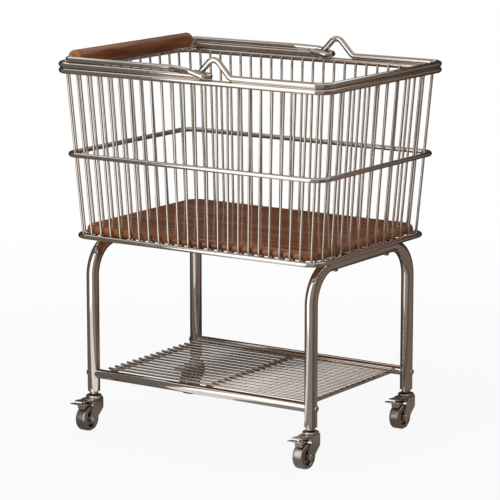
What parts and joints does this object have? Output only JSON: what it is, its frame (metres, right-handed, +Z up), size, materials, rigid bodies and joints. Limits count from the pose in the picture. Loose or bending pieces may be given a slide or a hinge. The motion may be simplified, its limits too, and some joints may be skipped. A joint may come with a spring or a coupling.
{
  "type": "laundry sorter on wheels",
  "caption": "Tapered wire laundry basket with a wood floor and folding bail handle, on a tube stand with a wire shelf and braked swivel casters.",
  "frame": {"origin": "on the floor under the middle of the basket", "axes": "+X along the basket's long side, +Y towards the back, +Z up"},
  "size_m": [0.646, 0.4806, 0.7847],
  "materials": {
    "nickel_steel": "polished",
    "nickel_tube": "polished",
    "nickel_wire": "polished",
    "walnut_board": "glossy lacquer",
    "turned_grip": "satin lacquer",
    "brass_insert": "satin",
    "nylon_black": "matte",
    "zinc_bolt": "satin",
    "steel_plug": "satin",
    "polished_bolt": "polished",
    "caster_chrome": "polished",
    "wheel_hub_chrome": "polished",
    "wheel_tread_chrome": "polished",
    "pedal_chrome": "polished"
  },
  "bodies": {
    "cart_frame": {"rim_ring_lower": "nickel_steel", "rim_ring_upper": "nickel_steel", "mid_hoop": "nickel_steel", "base_hoop": "nickel_steel", "long_side_wires": "nickel_wire", "short_side_wires": "nickel_wire", "base_board": "walnut_board", "board_inserts": "brass_insert", "board_spacers": "nylon_black", "board_bolts": "zinc_bolt", "leg_frame_left": "nickel_tube", "leg_frame_right": "nickel_tube", "shelf_rail_front": "nickel_tube", "shelf_rail_back": "nickel_tube", "rail_plugs": "steel_plug", "rail_bolts": "polished_bolt", "shelf_cross_rods": "nickel_wire", "shelf_wires": "nickel_wire", "leg_sockets": "nylon_black", "caster_stems": "caster_chrome"},
    "handle": {"bail_handle": "nickel_steel"},
    "grip": {"handle_grip": "turned_grip"},
    "caster_fl": {"caster_fork_fl": "caster_chrome", "caster_axle_fl": "caster_chrome", "pedal_pin_fl": "steel_plug"},
    "wheel_fl": {"wheel_hub_fl": "wheel_hub_chrome", "wheel_tread_fl": "wheel_tread_chrome"},
    "brake_fl": {"brake_pedal_fl": "pedal_chrome"},
    "caster_fr": {"caster_fork_fr": "caster_chrome", "caster_axle_fr": "caster_chrome", "pedal_pin_fr": "steel_plug"},
    "wheel_fr": {"wheel_hub_fr": "wheel_hub_chrome", "wheel_tread_fr": "wheel_tread_chrome"},
    "brake_fr": {"brake_pedal_fr": "pedal_chrome"},
    "caster_bl": {"caster_fork_bl": "caster_chrome", "caster_axle_bl": "caster_chrome", "pedal_pin_bl": "steel_plug"},
    "wheel_bl": {"wheel_hub_bl": "wheel_hub_chrome", "wheel_tread_bl": "wheel_tread_chrome"},
    "brake_bl": {"brake_pedal_bl": "pedal_chrome"},
    "caster_br": {"caster_fork_br": "caster_chrome", "caster_axle_br": "caster_chrome", "pedal_pin_br": "steel_plug"},
    "wheel_br": {"wheel_hub_br": "wheel_hub_chrome", "wheel_tread_br": "wheel_tread_chrome"},
    "brake_br": {"brake_pedal_br": "pedal_chrome"}
  },
  "joints": [
    {"name": "handle_swing", "type": "hinge", "parent": "cart_frame", "child": "handle", "pos_m": [0.051, 0, 0.7458], "axis": [0, 1, 0], "range_deg": [0, 120]},
    {"name": "grip_roll", "type": "hinge", "parent": "handle", "child": "grip", "pos_m": [-0.29, 0, 0.75765], "axis": [0, 1, 0], "continuous": true},
    {"name": "swivel_fl", "type": "hinge", "parent": "cart_frame", "child": "caster_fl", "pos_m": [-0.261, -0.182, 0.066], "axis": [0, 0, 1], "continuous": true},
    {"name": "roll_fl", "type": "hinge", "parent": "caster_fl", "child": "wheel_fl", "pos_m": [-0.261, -0.206, 0.0255], "axis": [1, 0, 0], "continuous": true},
    {"name": "brake_fl", "type": "hinge", "parent": "caster_fl", "child": "brake_fl", "pos_m": [-0.261, -0.196, 0.056], "axis": [1, 0, 0], "range_deg": [0, 6.5]},
    {"name": "swivel_fr", "type": "hinge", "parent": "cart_frame", "child": "caster_fr", "pos_m": [0.261, -0.182, 0.066], "axis": [0, 0, 1], "continuous": true},
    {"name": "roll_fr", "type": "hinge", "parent": "caster_fr", "child": "wheel_fr", "pos_m": [0.261, -0.206, 0.0255], "axis": [1, 0, 0], "continuous": true},
    {"name": "brake_fr", "type": "hinge", "parent": "caster_fr", "child": "brake_fr", "pos_m": [0.261, -0.196, 0.056], "axis": [1, 0, 0], "range_deg": [0, 6.5]},
    {"name": "swivel_bl", "type": "hinge", "parent": "cart_frame", "child": "caster_bl", "pos_m": [-0.261, 0.182, 0.066], "axis": [0, 0, 1], "continuous": true},
    {"name": "roll_bl", "type": "hinge", "parent": "caster_bl", "child": "wheel_bl", "pos_m": [-0.261, 0.158, 0.0255], "axis": [1, 0, 0], "continuous": true},
    {"name": "brake_bl", "type": "hinge", "parent": "caster_bl", "child": "brake_bl", "pos_m": [-0.261, 0.168, 0.056], "axis": [1, 0, 0], "range_deg": [0, 6.5]},
    {"name": "swivel_br", "type": "hinge", "parent": "cart_frame", "child": "caster_br", "pos_m": [0.261, 0.182, 0.066], "axis": [0, 0, 1], "continuous": true},
    {"name": "roll_br", "type": "hinge", "parent": "caster_br", "child": "wheel_br", "pos_m": [0.261, 0.158, 0.0255], "axis": [1, 0, 0], "continuous": true},
    {"name": "brake_br", "type": "hinge", "parent": "caster_br", "child": "brake_br", "pos_m": [0.261, 0.168, 0.056], "axis": [1, 0, 0], "range_deg": [0, 6.5]}
  ]
}
